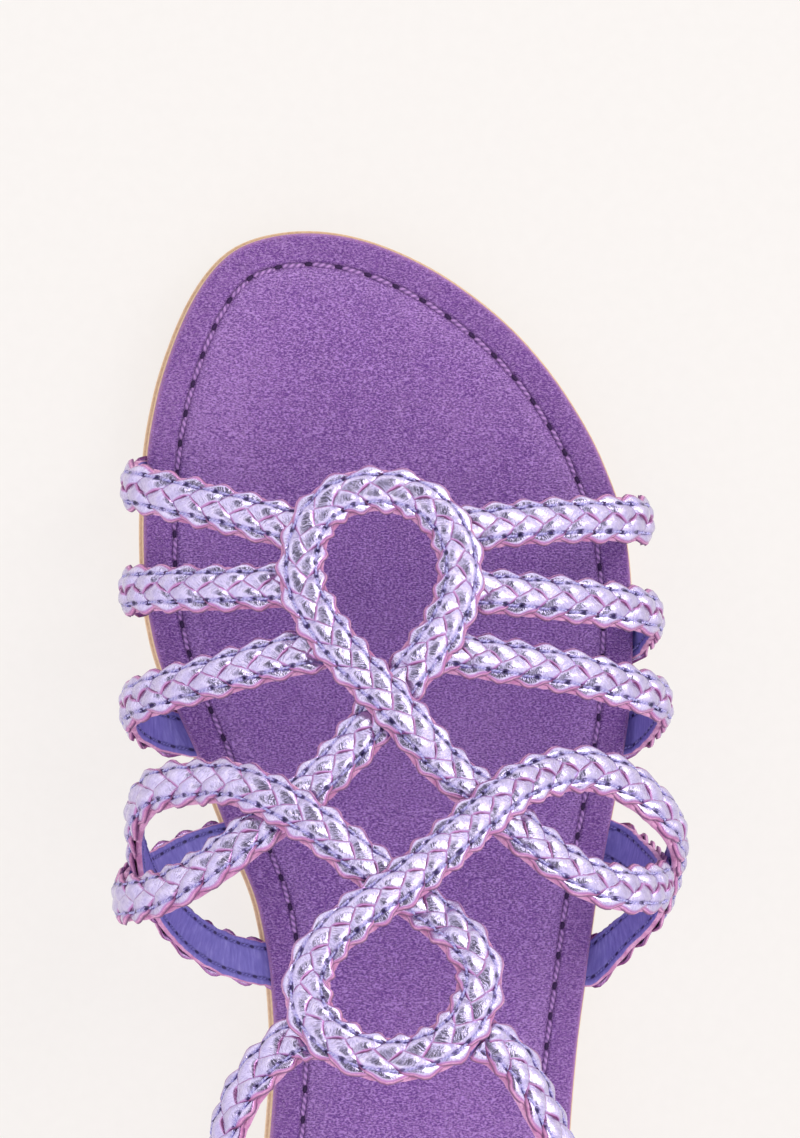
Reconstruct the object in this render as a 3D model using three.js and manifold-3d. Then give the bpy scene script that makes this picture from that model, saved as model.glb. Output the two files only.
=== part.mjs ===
// Braided leather sandal for the right foot, empty and standing on its sole, in millimetres.
// +Z is up, +Y points to the toe and +X to the outer side of the foot.
// Places along the shoe are shares of the sole's length, 0 at the toe tip and 1 at the heel.
import * as THREE from "three";
import Module from "manifold-3d";

// Driving sizes.
const SOLE_LENGTH = 247;
const BALL_WIDTH = 89.5;
const TOE_SPRING = 6;
const HEEL_HEIGHT = 8;
const INSTEP_HEIGHT = 64;
const FIT_GAP = 0.3;

// Sole pieces.
const OUTSOLE_THICKNESS = 5;
const OUTSOLE_LEDGE = 0.5;
const OUTSOLE_STEP_HEIGHT = 3;
const OUTSOLE_BEVEL = 1;
const FOOTBED_THICKNESS = 4;
const FOOTBED_SETBACK = 0.7;
const FOOTBED_ROUND = 0.9;
const PANEL_INSET = 5.6;
const PANEL_RISE = 0.6;
const PANEL_SLOPE = 1.4;
const HEEL_BREAST_SHARE = 0.735;
const HEEL_SETBACK = 0.4;
const HEEL_BEVEL = 0.8;

// Plaited straps.
const STRAP_WIDTH = 8.8;
const STRAP_WALL = 2;
const BRAID_RELIEF = 0.7;
const BRAID_PITCH = 5.3;
const BRAID_SLANT = 2.6;
const BRAID_ZIGZAG = 0.7;
const BRAID_NOTCH = 0.55;
const STITCH_LINE = 2.6;
const LINING_THICKNESS = 1.2;
const STRAP_BITE = 0.15;
const TAIL_THICKNESS = 2;
const TUCK_LENGTH = 11;
const CROWN_FULLNESS = 0.85;
const SKIVE_START = 140;
const SKIVE_END = 180;

// How finely the curved forms are cut into facets.
const SIDE_STEPS = 38;
const ROUTE_SAMPLES = 700;
const RINGS_PER_PITCH = 2;
const STRAND_PARTS = 4;
const NORMAL_REACH = 1;
const EDGE_REACH = 0.004;

// Turns a short table into rows with named columns.
function table(columns, rows) {
  return rows.map((row) => Object.fromEntries(columns.map((name, index) => [name, row[index]])));
}

// Plan of the sole: distance from the long axis to each edge, as a share of the ball width.
const OUTLINE = table(["along", "inner", "outer"], [
  [0, 0.178, -0.178],
  [0.012, 0.324, -0.012],
  [0.035, 0.39, 0.114],
  [0.08, 0.453, 0.267],
  [0.124, 0.49, 0.363],
  [0.167, 0.509, 0.429],
  [0.22, 0.516, 0.478],
  [0.26, 0.513, 0.49],
  [0.3, 0.496, 0.494],
  [0.344, 0.457, 0.489],
  [0.388, 0.404, 0.473],
  [0.44, 0.347, 0.445],
  [0.5, 0.282, 0.414],
  [0.55, 0.26, 0.394],
  [0.6, 0.253, 0.374],
  [0.665, 0.264, 0.357],
  [0.75, 0.295, 0.345],
  [0.85, 0.32, 0.335],
  [0.92, 0.285, 0.295],
  [0.97, 0.19, 0.195],
  [1, 0, 0],
]);

// Side view of the sole: share of the toe spring and share of the heel height.
const PROFILE = table(["along", "spring", "pitch"], [
  [0, 1, 0],
  [0.07, 0.55, 0],
  [0.15, 0.14, 0],
  [0.23, 0, 0],
  [0.4, 0, 0],
  [0.48, 0, 0.12],
  [0.58, 0, 0.45],
  [0.68, 0, 0.8],
  [0.76, 0, 0.96],
  [0.85, 0, 1],
  [1, 0, 1],
]);

// Foot form under the straps. The ridge and the widest points are shares of the ball width,
// and the heights of the ridge and of the widest points are shares of the instep height.
const LAST = table(["along", "ridge", "inner", "outer", "height", "bulge"], [
  [0.1, -0.03, 0.5, 0.44, 0.28, 0.1],
  [0.18, -0.03, 0.52, 0.47, 0.36, 0.13],
  [0.26, -0.03, 0.525, 0.49, 0.48, 0.16],
  [0.35, -0.035, 0.525, 0.51, 0.62, 0.22],
  [0.45, -0.04, 0.515, 0.5, 0.8, 0.34],
  [0.52, -0.045, 0.51, 0.485, 0.91, 0.4],
  [0.6, -0.05, 0.49, 0.44, 1.02, 0.44],
  [0.68, -0.05, 0.45, 0.38, 1.14, 0.46],
]);

// Routes of the straps over the foot form. Around is in degrees: 0 on the ridge, 90 at the widest
// point, 180 at the edge of the footbed and 270 at the end of the tuck below it, less than zero on
// the inner side. Lift 1 passes over another strap.
const ROUTE_COLUMNS = ["along", "around", "lift"];
const DEGREE_LENGTH = BALL_WIDTH / 150;
const CROSS_STRAPS = {
  innerFront: [
    [0.222, -20, 0],
    [0.208, -39, 0],
    [0.199, -55, 0],
    [0.191, -74, 0],
    [0.187, -105, 0],
    [0.185, -145, 0],
    [0.184, -180, 0],
    [0.184, -270, 0],
  ],
  innerMiddle: [
    [0.261, -20, 0],
    [0.263, -40, 0],
    [0.263, -70, 0],
    [0.264, -105, 0],
    [0.264, -145, 0],
    [0.264, -180, 0],
    [0.264, -270, 0],
  ],
  innerRear: [
    [0.305, -16, 0],
    [0.314, -29, 0],
    [0.326, -45, 0],
    [0.34, -72, 0],
    [0.351, -105, 0],
    [0.363, -145, 0],
    [0.369, -180, 0],
    [0.37, -270, 0],
  ],
  outerFront: [
    [0.222, 14, 0],
    [0.217, 29, 0],
    [0.214, 45, 0],
    [0.213, 65, 0],
    [0.213, 100, 0],
    [0.212, 145, 0],
    [0.211, 180, 0],
    [0.211, 270, 0],
  ],
  outerMiddle: [
    [0.263, 14, 0],
    [0.268, 30, 0],
    [0.274, 52, 0],
    [0.28, 75, 0],
    [0.286, 110, 0],
    [0.293, 150, 0],
    [0.297, 180, 0],
    [0.298, 270, 0],
  ],
  outerRear: [
    [0.307, 10, 0],
    [0.315, 25, 0],
    [0.323, 41, 0],
    [0.333, 58, 0],
    [0.344, 82, 0],
    [0.354, 115, 0],
    [0.364, 150, 0],
    [0.369, 180, 0],
    [0.37, 270, 0],
  ],
};

// The front strand rises from the inner side, makes the top loop over the ends of the cross
// straps and goes down to the outer side.
const FRONT_STRAND = [
  [0.447, -270, 0],
  [0.448, -180, 0],
  [0.457, -150, 0.2],
  [0.473, -118, 1],
  [0.482, -92, 1],
  [0.478, -68, 0.35],
  [0.46, -49, 0],
  [0.438, -36, 0],
  [0.412, -23, 0],
  [0.38, -11, 0],
  [0.344, -1.7, 0],
  [0.318, 5, 0.55],
  [0.298, 9.7, 1],
  [0.268, 13.8, 1],
  [0.241, 14.2, 1],
  [0.217, 11, 1],
  [0.201, 5, 1],
  [0.196, -3, 1],
  [0.201, -11, 1],
  [0.217, -17, 1],
  [0.24, -20, 1],
  [0.266, -20, 1],
  [0.291, -16, 1],
  [0.318, -9.5, 1],
  [0.344, -1.7, 1],
  [0.366, 4, 0.75],
  [0.388, 10.5, 0.1],
  [0.412, 19.2, 0],
  [0.437, 28.3, 0],
  [0.458, 38, 0],
  [0.471, 49, 0],
  [0.475, 65, 0],
  [0.471, 88, 0],
  [0.464, 118, 0],
  [0.454, 150, 0],
  [0.448, 180, 0],
  [0.447, 270, 0],
];

// The rear strand rises from the inner side, crosses the front strand, makes the bottom loop over
// the ends of the heel strap and goes down to the outer side.
const REAR_STRAND = [
  [0.539, -270, 0],
  [0.537, -180, 0],
  [0.524, -155, 0],
  [0.494, -130, 0],
  [0.46, -108, 0],
  [0.428, -88, 0],
  [0.407, -70, 0],
  [0.4, -52, 0],
  [0.401, -40, 0.5],
  [0.412, -29, 1],
  [0.429, -19.5, 1],
  [0.449, -9.8, 0.45],
  [0.472, 1, 0],
  [0.491, 8.5, 0.2],
  [0.51, 13.6, 0.75],
  [0.534, 16.8, 1],
  [0.561, 14.5, 1],
  [0.58, 8.5, 1],
  [0.588, -1, 1],
  [0.58, -11.6, 1],
  [0.561, -18.8, 1],
  [0.536, -20.2, 1],
  [0.512, -16, 1],
  [0.491, -8, 1],
  [0.472, 1, 1],
  [0.45, 8.8, 1],
  [0.426, 17.2, 1],
  [0.405, 25.5, 0.7],
  [0.393, 35, 0.2],
  [0.391, 44, 0],
  [0.4, 56, 0.1],
  [0.42, 70, 0.5],
  [0.45, 90, 1],
  [0.482, 115, 1],
  [0.512, 142, 0.3],
  [0.531, 165, 0],
  [0.537, 180, 0],
  [0.539, 270, 0],
];

// Heel strap round the ankle: place across as a share of the ball width, height over the footbed as
// a share of the instep height, and how far its face leans up from upright, in degrees.
const HEEL_STRAP = table(["along", "across", "height", "lean"], [
  [0.57, -0.19, 0.955, 68],
  [0.572, -0.235, 0.94, 62],
  [0.59, -0.292, 0.928, 52],
  [0.615, -0.337, 0.91, 42],
  [0.65, -0.365, 0.893, 32],
  [0.71, -0.382, 0.876, 20],
  [0.78, -0.368, 0.858, 12],
  [0.85, -0.312, 0.842, 8],
  [0.905, -0.222, 0.832, 6],
  [0.94, -0.11, 0.828, 5],
  [0.95, 0.003, 0.826, 5],
  [0.941, 0.115, 0.828, 5],
  [0.906, 0.226, 0.836, 6],
  [0.85, 0.298, 0.85, 8],
  [0.78, 0.322, 0.872, 12],
  [0.71, 0.304, 0.898, 20],
  [0.655, 0.262, 0.928, 34],
  [0.615, 0.213, 0.955, 48],
  [0.585, 0.165, 0.955, 60],
  [0.57, 0.112, 0.965, 70],
]);

// Monotone cubic through one column of a table, with the rows spaced by a key function.
function columnCurve(rows, column, spacing = (along) => along) {
  const keys = rows.map((row) => spacing(row.along));
  const values = rows.map((row) => row[column]);
  const last = rows.length - 1;
  const steps = keys.slice(1).map((key, index) => key - keys[index]);
  const slopes = steps.map((step, index) => (values[index + 1] - values[index]) / step);
  const tangents = values.map((value, index) => {
    if (index === 0) {
      return slopes[0];
    }
    if (index === last) {
      return slopes[last - 1];
    }
    const before = slopes[index - 1];
    const after = slopes[index];
    if (before * after <= 0) {
      return 0;
    }
    const weightBefore = 2 * steps[index] + steps[index - 1];
    const weightAfter = steps[index] + 2 * steps[index - 1];
    return (weightBefore + weightAfter) / (weightBefore / before + weightAfter / after);
  });
  return (along) => {
    const key = THREE.MathUtils.clamp(spacing(along), keys[0], keys[last]);
    let index = 0;
    while (index < last - 1 && key > keys[index + 1]) {
      index += 1;
    }
    const share = (key - keys[index]) / steps[index];
    const square = share * share;
    const cube = square * share;
    return values[index] * (2 * cube - 3 * square + 1)
      + tangents[index] * steps[index] * (cube - 2 * square + share)
      + values[index + 1] * (3 * square - 2 * cube)
      + tangents[index + 1] * steps[index] * (cube - square);
  };
}

// Around the outline the angle runs from 0 at the toe tip to pi at the heel on the inner side,
// and on to two pi on the outer side. This keeps the ends of the sole round.
const roundAngle = (along) => Math.acos(THREE.MathUtils.clamp(1 - 2 * along, -1, 1));
const innerEdge = columnCurve(OUTLINE, "inner", roundAngle);
const outerEdge = columnCurve(OUTLINE, "outer", roundAngle);
const springShare = columnCurve(PROFILE, "spring");
const pitchShare = columnCurve(PROFILE, "pitch");
const lastForm = Object.fromEntries(
  ["ridge", "inner", "outer", "height", "bulge"].map((name) => [name, columnCurve(LAST, name)]),
);

const placeY = (along) => (0.5 - along) * SOLE_LENGTH;
const alongAt = (y) => 0.5 - y / SOLE_LENGTH;
const outsoleFloor = (along) => TOE_SPRING * springShare(along) + HEEL_HEIGHT * pitchShare(along);
const outsoleTop = (along) => outsoleFloor(along) + OUTSOLE_THICKNESS;
const footbedFloor = (along) => outsoleTop(along) + FIT_GAP;
const footbedTop = (along) => footbedFloor(along) + FOOTBED_THICKNESS;

function outlinePoint(angle) {
  const along = (1 - Math.cos(angle)) / 2;
  const onInnerSide = Math.sin(angle) > 0;
  const across = onInnerSide ? -innerEdge(along) : outerEdge(along);
  return new THREE.Vector2(across * BALL_WIDTH, placeY(along));
}

// Point of the outline moved inwards, square to the edge.
function insetPoint(angle, inset) {
  const ahead = outlinePoint(angle + EDGE_REACH);
  const behind = outlinePoint(angle - EDGE_REACH);
  const direction = ahead.sub(behind).normalize();
  return outlinePoint(angle).add(new THREE.Vector2(-direction.y, direction.x).multiplyScalar(inset));
}

// One level of a sole piece, from front middle along the inner side, round the heel and back.
function soleRing(inset, heightAt, startAlong = 0) {
  const whole = startAlong === 0;
  const front = whole ? 0 : roundAngle(startAlong + inset / SOLE_LENGTH);
  const stations = [];
  for (let step = whole ? 1 : 0; step <= SIDE_STEPS; step += 1) {
    stations.push(front + (Math.PI - front) * step / SIDE_STEPS);
  }
  const inner = stations.map((angle) => insetPoint(angle, inset));
  const outer = stations.slice(0, -1).reverse().map((angle) => insetPoint(2 * Math.PI - angle, inset));
  const middle = whole
    ? insetPoint(0, inset)
    : inner[0].clone().add(outer[outer.length - 1]).multiplyScalar(0.5);
  return [middle, ...inner, ...outer].map(
    (point) => new THREE.Vector3(point.x, point.y, heightAt(alongAt(point.y))),
  );
}

// Joins rings of equal length with facets and closes both ends. A ladder cap joins each point to
// the one opposite it, so that it follows a surface that bends along the shoe.
function loft(rings) {
  const size = rings[0].length;
  const positions = rings.flat().flatMap((point) => point.toArray());
  const indices = [];
  for (let level = 0; level < rings.length - 1; level += 1) {
    for (let index = 0; index < size; index += 1) {
      const next = (index + 1) % size;
      const low = level * size;
      const high = low + size;
      indices.push(low + index, low + next, high + next);
      indices.push(low + index, high + next, high + index);
    }
  }
  const cap = (base, flip) => {
    const add = (a, b, c) => indices.push(base + a, base + (flip ? c : b), base + (flip ? b : c));
    for (let index = 0; index < Math.floor(size / 2); index += 1) {
      const opposite = (size - index) % size;
      const nextOpposite = size - index - 1;
      if (index > 0) {
        add(index, opposite, nextOpposite);
      }
      if (index + 1 !== nextOpposite) {
        add(index, nextOpposite, index + 1);
      }
    }
  };
  cap(0, false);
  cap((rings.length - 1) * size, true);
  const geometry = new THREE.BufferGeometry();
  geometry.setAttribute("position", new THREE.Float32BufferAttribute(positions, 3));
  geometry.setIndex(indices);
  return geometry;
}

const wasm = await Module();
wasm.setup();

function solidOf(geometry) {
  const mesh = new wasm.Mesh({
    numProp: 3,
    vertProperties: new Float32Array(geometry.attributes.position.array),
    triVerts: new Uint32Array(geometry.index.array),
  });
  return new wasm.Manifold(mesh);
}

function geometryOf(solid) {
  const mesh = solid.getMesh();
  const geometry = new THREE.BufferGeometry();
  geometry.setAttribute("position", new THREE.Float32BufferAttribute(mesh.vertProperties, 3));
  geometry.setIndex(new THREE.Uint32BufferAttribute(mesh.triVerts, 1));
  geometry.computeVertexNormals();
  return geometry;
}

// Point on the foot form where the inside of a strap lies.
function lastPoint(along, around) {
  const side = Math.sign(around) || 1;
  const turn = Math.abs(around);
  const widest = side * (side < 0 ? lastForm.inner(along) : lastForm.outer(along)) * BALL_WIDTH;
  const ridge = lastForm.ridge(along) * BALL_WIDTH;
  const bulgeZ = footbedTop(along) + lastForm.bulge(along) * INSTEP_HEIGHT;
  const ridgeZ = footbedTop(along) + lastForm.height(along) * INSTEP_HEIGHT;
  if (turn <= 90) {
    const angle = THREE.MathUtils.degToRad(turn);
    const fullness = Math.max(Math.cos(angle), 0) ** CROWN_FULLNESS;
    return new THREE.Vector3(
      ridge + (widest - ridge) * Math.sin(angle),
      placeY(along),
      bulgeZ + (ridgeZ - bulgeZ) * fullness,
    );
  }
  const edge = (side < 0 ? innerEdge(along) : outerEdge(along)) * BALL_WIDTH - FOOTBED_SETBACK;
  const featherZ = footbedFloor(along) + TAIL_THICKNESS;
  const angle = THREE.MathUtils.degToRad(Math.min(turn, 180) - 90);
  const tuck = TUCK_LENGTH * Math.max(turn - 180, 0) / 90;
  return new THREE.Vector3(
    widest + (side * edge - widest) * (1 - Math.cos(angle)) - side * tuck,
    placeY(along),
    bulgeZ - (bulgeZ - featherZ) * Math.sin(angle),
  );
}

function lastNormal(along, around) {
  const share = NORMAL_REACH / SOLE_LENGTH;
  const turn = NORMAL_REACH / DEGREE_LENGTH;
  const down = lastPoint(along + share, around).sub(lastPoint(along - share, around));
  const over = lastPoint(along, around + turn).sub(lastPoint(along, around - turn));
  return down.cross(over).normalize();
}

// Samples of a strap's inside middle line with the way its face looks and its share of thickness.
function strapRoute(rows, overlap) {
  const curve = new THREE.CatmullRomCurve3(
    rows.map((row) => new THREE.Vector3(row.along * SOLE_LENGTH, row.around * DEGREE_LENGTH, row.lift)),
    false,
    "centripetal",
  );
  const samples = [];
  for (let step = 0; step <= ROUTE_SAMPLES; step += 1) {
    const place = curve.getPoint(step / ROUTE_SAMPLES);
    const along = place.x / SOLE_LENGTH;
    const around = place.y / DEGREE_LENGTH;
    const out = lastNormal(along, around);
    const rise = overlap * THREE.MathUtils.clamp(place.z, 0, 1);
    samples.push({
      point: lastPoint(along, around).addScaledVector(out, rise),
      out,
      skive: THREE.MathUtils.smoothstep(Math.abs(around), SKIVE_START, SKIVE_END),
    });
  }
  return samples;
}

function heelStrapRoute(rows) {
  const curveOf = (column) => new THREE.CatmullRomCurve3(column, false, "centripetal");
  const places = curveOf(rows.map((row) => new THREE.Vector3(
    row.across * BALL_WIDTH,
    placeY(row.along),
    footbedTop(row.along) + row.height * INSTEP_HEIGHT,
  )));
  const samples = [];
  for (let step = 0; step <= ROUTE_SAMPLES; step += 1) {
    const share = step / ROUTE_SAMPLES;
    const forward = places.getTangent(share);
    const level = new THREE.Vector3(forward.y, -forward.x, 0).normalize();
    const row = share * (rows.length - 1);
    const from = Math.min(Math.floor(row), rows.length - 2);
    const lean = THREE.MathUtils.degToRad(
      THREE.MathUtils.lerp(rows[from].lean, rows[from + 1].lean, row - from),
    );
    const out = level.multiplyScalar(Math.cos(lean)).setZ(Math.sin(lean));
    out.addScaledVector(forward, -out.dot(forward)).normalize();
    samples.push({ point: places.getPoint(share), out, skive: 0 });
  }
  return samples;
}

// Gives point, outward face and sideways direction at any distance along the samples.
function measureRoute(samples) {
  const distances = [0];
  for (let index = 1; index < samples.length; index += 1) {
    const gap = samples[index].point.distanceTo(samples[index - 1].point);
    distances.push(distances[index - 1] + gap);
  }
  const length = distances[distances.length - 1];
  const locate = (distance) => {
    const target = THREE.MathUtils.clamp(distance, 0, length);
    let low = 0;
    let high = distances.length - 1;
    while (high - low > 1) {
      const middle = Math.floor((low + high) / 2);
      if (distances[middle] > target) {
        high = middle;
      } else {
        low = middle;
      }
    }
    const share = (target - distances[low]) / Math.max(distances[high] - distances[low], 1e-6);
    return { low, high, share };
  };
  const pointAt = (distance) => {
    const { low, high, share } = locate(distance);
    return samples[low].point.clone().lerp(samples[high].point, share);
  };
  const outAt = (distance) => {
    const { low, high, share } = locate(distance);
    return samples[low].out.clone().lerp(samples[high].out, share);
  };
  const frameAt = (distance) => {
    const before = distance - NORMAL_REACH;
    const after = distance + NORMAL_REACH;
    const forward = pointAt(after).sub(pointAt(before)).normalize();
    const out = outAt(distance).add(outAt(after)).add(outAt(before));
    out.addScaledVector(forward, -out.dot(forward)).normalize();
    const { low, high, share } = locate(distance);
    return {
      point: pointAt(distance),
      forward,
      out,
      across: forward.clone().cross(out),
      skive: THREE.MathUtils.lerp(samples[low].skive, samples[high].skive, share),
    };
  };
  const steps = RINGS_PER_PITCH * Math.round(length / BRAID_PITCH);
  const stations = Array.from({ length: steps + 1 }, (_, step) => length * step / steps);
  return { length, stations, frameAt };
}

// Section of the plait at one step. On even steps the left strip lies on top, on odd steps the
// right one. Slant moves the middle ahead of the edges, so that the strips run in a herringbone.
function braidSection(step) {
  const leftOnTop = step % RINGS_PER_PITCH === 0;
  const half = STRAP_WIDTH / 2;
  const highLeft = leftOnTop ? 1 : 0;
  const highRight = 1 - highLeft;
  const middle = leftOnTop ? BRAID_ZIGZAG : -BRAID_ZIGZAG;
  return [
    { across: middle, height: STRAP_WALL + BRAID_RELIEF / 2, ahead: BRAID_SLANT },
    { across: STITCH_LINE, height: STRAP_WALL + BRAID_RELIEF * highRight, ahead: BRAID_SLANT / 2 },
    { across: half - BRAID_NOTCH * highLeft, height: LINING_THICKNESS, ahead: 0 },
    { across: half - BRAID_NOTCH, height: 0, ahead: 0 },
    { across: -half + BRAID_NOTCH, height: 0, ahead: 0 },
    { across: -half + BRAID_NOTCH * highRight, height: LINING_THICKNESS, ahead: 0 },
    { across: -STITCH_LINE, height: STRAP_WALL + BRAID_RELIEF * highLeft, ahead: BRAID_SLANT / 2 },
  ];
}

function sectionRing(route, distance, section) {
  return section.map(({ across, height, ahead }) => {
    const frame = route.frameAt(distance + ahead);
    const skived = TAIL_THICKNESS / (STRAP_WALL + BRAID_RELIEF);
    const thickness = THREE.MathUtils.lerp(1, skived, frame.skive);
    return frame.point.addScaledVector(frame.across, across).addScaledVector(frame.out, height * thickness);
  });
}

// A plaited strap as one solid. A strand that crosses itself is swept in parts, which then join.
function braidedStrap(route, parts = 1) {
  const rings = route.stations.map((distance, step) => sectionRing(route, distance, braidSection(step)));
  const steps = rings.length - 1;
  const solids = [];
  for (let part = 0; part < parts; part += 1) {
    const from = Math.round(steps * part / parts);
    const to = Math.round(steps * (part + 1) / parts);
    solids.push(solidOf(loft(rings.slice(from, to + 1))));
  }
  return solids.reduce((joined, solid) => joined.add(solid));
}

// Room for a strap's tucked end: the same sweep with the fit gap all round it.
function tailRoom(route, fromEnd) {
  const half = STRAP_WIDTH / 2 + FIT_GAP;
  const reach = TUCK_LENGTH + 3 * FOOTBED_THICKNESS;
  const outside = STRAP_WALL + BRAID_RELIEF + FOOTBED_THICKNESS;
  const section = [
    { across: half, height: outside, ahead: 0 },
    { across: half, height: -FIT_GAP, ahead: 0 },
    { across: -half, height: -FIT_GAP, ahead: 0 },
    { across: -half, height: outside, ahead: 0 },
  ];
  const stations = route.stations.filter(
    (distance) => (fromEnd ? route.length - distance : distance) <= reach,
  );
  const rings = stations.map((distance) => sectionRing(route, distance, section));
  const endRing = fromEnd ? rings[rings.length - 1] : rings[0];
  const endFrame = route.frameAt(fromEnd ? route.length : 0);
  endRing.forEach((point) => point.addScaledVector(endFrame.forward, fromEnd ? FIT_GAP : -FIT_GAP));
  return solidOf(loft(rings));
}

const overlapRise = STRAP_WALL - STRAP_BITE;
const crossRoutes = Object.values(CROSS_STRAPS).map(
  (rows) => measureRoute(strapRoute(table(ROUTE_COLUMNS, rows), overlapRise)),
);
const frontRoute = measureRoute(strapRoute(table(ROUTE_COLUMNS, FRONT_STRAND), overlapRise));
const rearRoute = measureRoute(strapRoute(table(ROUTE_COLUMNS, REAR_STRAND), overlapRise));
const heelRoute = measureRoute(heelStrapRoute(HEEL_STRAP));

const upperSolid = [
  braidedStrap(frontRoute, STRAND_PARTS),
  braidedStrap(rearRoute, STRAND_PARTS),
  braidedStrap(heelRoute),
  ...crossRoutes.map((route) => braidedStrap(route)),
].reduce((joined, solid) => joined.add(solid));

const tailRooms = [
  ...crossRoutes.map((route) => tailRoom(route, true)),
  tailRoom(frontRoute, false),
  tailRoom(frontRoute, true),
  tailRoom(rearRoute, false),
  tailRoom(rearRoute, true),
];

const raised = (height, rise) => (along) => height(along) + rise;

const outsoleGeometry = loft([
  soleRing(OUTSOLE_BEVEL, outsoleFloor),
  soleRing(0, raised(outsoleFloor, OUTSOLE_BEVEL)),
  soleRing(0, raised(outsoleFloor, OUTSOLE_STEP_HEIGHT)),
  soleRing(OUTSOLE_LEDGE, raised(outsoleFloor, OUTSOLE_STEP_HEIGHT)),
  soleRing(OUTSOLE_LEDGE, outsoleTop),
]);

const heelTop = raised(outsoleFloor, -FIT_GAP);
const heelGeometry = loft([
  soleRing(HEEL_SETBACK + HEEL_BEVEL, () => 0, HEEL_BREAST_SHARE),
  soleRing(HEEL_SETBACK, () => HEEL_BEVEL, HEEL_BREAST_SHARE),
  soleRing(HEEL_SETBACK, heelTop, HEEL_BREAST_SHARE),
]);

const panelEdge = FOOTBED_SETBACK + PANEL_INSET;
const footbedSolid = solidOf(loft([
  soleRing(FOOTBED_SETBACK, footbedFloor),
  soleRing(FOOTBED_SETBACK, raised(footbedTop, -FOOTBED_ROUND)),
  soleRing(FOOTBED_SETBACK + FOOTBED_ROUND, footbedTop),
  soleRing(panelEdge, footbedTop),
  soleRing(panelEdge + PANEL_SLOPE, raised(footbedTop, PANEL_RISE)),
]));
const footbedGeometry = geometryOf(tailRooms.reduce((solid, room) => solid.subtract(room), footbedSolid));

function piece(name, geometry, colour, roughness, metalness) {
  const material = new THREE.MeshStandardMaterial({ color: colour, roughness, metalness });
  const mesh = new THREE.Mesh(geometry, material);
  mesh.name = name;
  return mesh;
}

const sandal = new THREE.Group();
sandal.add(
  piece("outsole", outsoleGeometry, 0xd6b491, 0.6, 0),
  piece("heel_lift", heelGeometry, 0xb98f68, 0.65, 0),
  piece("footbed", footbedGeometry, 0x7e4896, 0.9, 0),
  piece("upper", geometryOf(upperSolid), 0xd5cdee, 0.35, 0.4),
);

// The origin lies on the floor, below the middle of the shoe's box.
const box = new THREE.Box3().setFromObject(sandal);
const centre = box.getCenter(new THREE.Vector3());
for (const mesh of sandal.children) {
  mesh.position.set(-centre.x, -centre.y, -box.min.z);
}

export default sandal;
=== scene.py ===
import math

import bmesh
import bpy
import numpy as np
from mathutils import Matrix, Vector


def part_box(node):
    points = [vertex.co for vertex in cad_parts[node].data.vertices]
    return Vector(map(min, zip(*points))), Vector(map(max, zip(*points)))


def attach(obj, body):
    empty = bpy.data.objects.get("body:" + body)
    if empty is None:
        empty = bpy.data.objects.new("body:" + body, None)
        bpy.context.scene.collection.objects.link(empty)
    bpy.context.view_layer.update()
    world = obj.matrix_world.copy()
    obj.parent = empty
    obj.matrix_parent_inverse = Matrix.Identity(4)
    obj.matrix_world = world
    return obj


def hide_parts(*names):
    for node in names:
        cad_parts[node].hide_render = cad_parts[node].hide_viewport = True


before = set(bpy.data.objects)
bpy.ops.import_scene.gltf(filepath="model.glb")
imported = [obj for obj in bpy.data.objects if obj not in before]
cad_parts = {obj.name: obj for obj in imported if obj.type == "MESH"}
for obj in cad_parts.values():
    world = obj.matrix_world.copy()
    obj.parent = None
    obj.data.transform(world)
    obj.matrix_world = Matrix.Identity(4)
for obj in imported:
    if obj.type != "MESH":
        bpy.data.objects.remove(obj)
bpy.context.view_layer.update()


# Outsole: the tan runner of leather-look resin, 5 mm thick, cut to the sole's outline. Its edge
# is trimmed with a small step and burnished, and its underside is bevelled and finely ribbed.
MM = 0.001
SOLE_LENGTH = 247
BALL_WIDTH = 89.5
TOE_SPRING = 6
HEEL_HEIGHT = 8
FIT_GAP = 0.3
OUTSOLE_THICKNESS = 5
SHIFT_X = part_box("outsole")[0].x / MM + 0.516 * BALL_WIDTH

# Columns: along, inner, outer. Places along are shares of the sole's length from the toe.
OUTLINE = np.array([
    (0, 0.178, -0.178), (0.012, 0.324, -0.012), (0.035, 0.39, 0.114), (0.08, 0.453, 0.267),
    (0.124, 0.49, 0.363), (0.167, 0.509, 0.429), (0.22, 0.516, 0.478), (0.26, 0.513, 0.49),
    (0.3, 0.496, 0.494), (0.344, 0.457, 0.489), (0.388, 0.404, 0.473), (0.44, 0.347, 0.445),
    (0.5, 0.282, 0.414), (0.55, 0.26, 0.394), (0.6, 0.253, 0.374), (0.665, 0.264, 0.357),
    (0.75, 0.295, 0.345), (0.85, 0.32, 0.335), (0.92, 0.285, 0.295), (0.97, 0.19, 0.195), (1, 0, 0),
])
# Columns: along, share of the toe spring, share of the heel height.
PROFILE = np.array([
    (0, 1, 0), (0.07, 0.55, 0), (0.15, 0.14, 0), (0.23, 0, 0), (0.4, 0, 0), (0.48, 0, 0.12),
    (0.58, 0, 0.45), (0.68, 0, 0.8), (0.76, 0, 0.96), (0.85, 0, 1), (1, 0, 1),
])


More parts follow.
